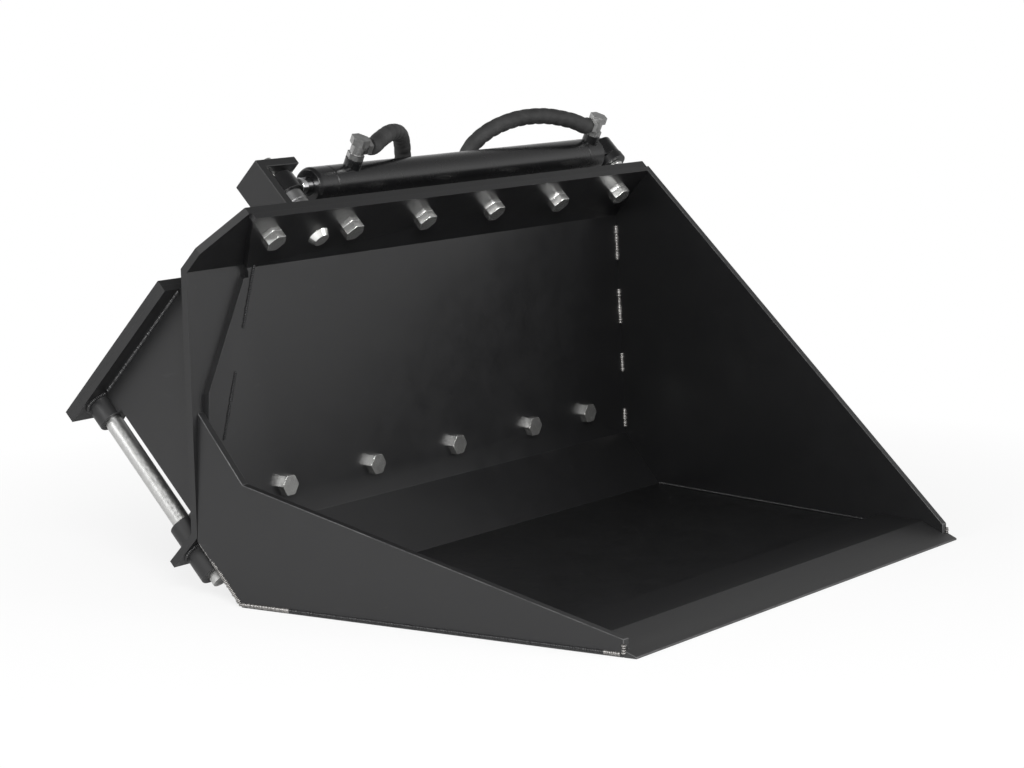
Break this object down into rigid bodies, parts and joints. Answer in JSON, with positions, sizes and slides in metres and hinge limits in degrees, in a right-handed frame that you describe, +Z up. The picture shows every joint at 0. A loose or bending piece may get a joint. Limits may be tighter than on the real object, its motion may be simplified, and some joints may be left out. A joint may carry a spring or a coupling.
{
  "type": "skid steer tilt bucket",
  "caption": "Loader bucket that tilts to one side about a slanted pin, driven by a hydraulic cylinder along its top, on a slanted mounting frame.",
  "frame": {"origin": "middle of the object's footprint, on the underside of the bucket floor", "axes": "+X to the right side seen from the cutting edge, where the cylinder's base is pinned, -Y towards the cutting edge, +Z up"},
  "size_m": [1.068, 0.9944, 0.6776],
  "materials": {
    "bucket_paint": "satin black paint",
    "edge_paint": "satin black paint, worn lighter along the tip",
    "frame_paint": "satin black paint",
    "cylinder_paint": "gloss black paint",
    "zinc": "bright zinc plating",
    "pin_steel": "bare ground steel",
    "rod_chrome": "polished hard chrome",
    "piston_steel": "plain turned steel",
    "fitting_steel": "dull grey plating",
    "hose_rubber": "matte black hose cover"
  },
  "bodies": {
    "frame": {"loader_plate": "frame_paint", "frame_plate": "frame_paint", "left_gusset": "frame_paint", "middle_gussets": "frame_paint", "right_gusset": "frame_paint", "front_bar": "frame_paint", "front_bush": "frame_paint", "rear_bush": "frame_paint", "pivot_pin": "pin_steel", "cylinder_bracket": "frame_paint", "barrel_pin": "zinc"},
    "bucket": {"bucket_shell": "bucket_paint", "right_side_plate": "bucket_paint", "left_side_plate": "bucket_paint", "cutting_edge": "edge_paint", "upper_bolts": "zinc", "upper_thin_nuts": "zinc", "upper_nuts": "zinc", "lower_bolts": "zinc", "lower_nuts": "zinc", "tilt_plate": "frame_paint", "pivot_boss": "frame_paint", "rod_bracket": "frame_paint", "rod_pin_nut": "zinc", "rod_pin_end": "zinc"},
    "cylinder": {"cylinder_tube": "cylinder_paint", "cylinder_gland": "cylinder_paint", "base_cap": "cylinder_paint", "port_bosses": "cylinder_paint", "rod_port_fitting": "fitting_steel", "base_port_fitting": "fitting_steel", "rod_port_hose": "hose_rubber", "base_port_hose": "hose_rubber", "rod_hose_end": "fitting_steel", "base_hose_end": "fitting_steel"},
    "rod": {"cylinder_rod": "rod_chrome", "piston": "piston_steel", "rod_eye": "cylinder_paint", "rod_pin": "zinc", "rod_spacers": "zinc"}
  },
  "joints": [
    {"name": "tilt", "type": "hinge", "parent": "frame", "child": "bucket", "pos_m": [-0.5, 0.25252, 0.0693], "axis": [0, -0.7071, -0.7071], "range_deg": [0, 30]},
    {"name": "barrel_swing", "type": "hinge", "parent": "frame", "child": "cylinder", "pos_m": [0.502, 0.2412, 0.58923], "axis": [0, -0.7071, -0.7071], "range_deg": [-4, 1]},
    {"name": "rod_stroke", "type": "slide", "parent": "cylinder", "child": "rod", "axis": [-1, 0, 0], "range_m": [0, 0.22]}
  ],
  "couplings": [
    {"joint": "barrel_swing", "follows": "tilt", "ratio": -0.109},
    {"joint": "rod_stroke", "follows": "tilt", "m_per_rad": 0.4068}
  ]
}
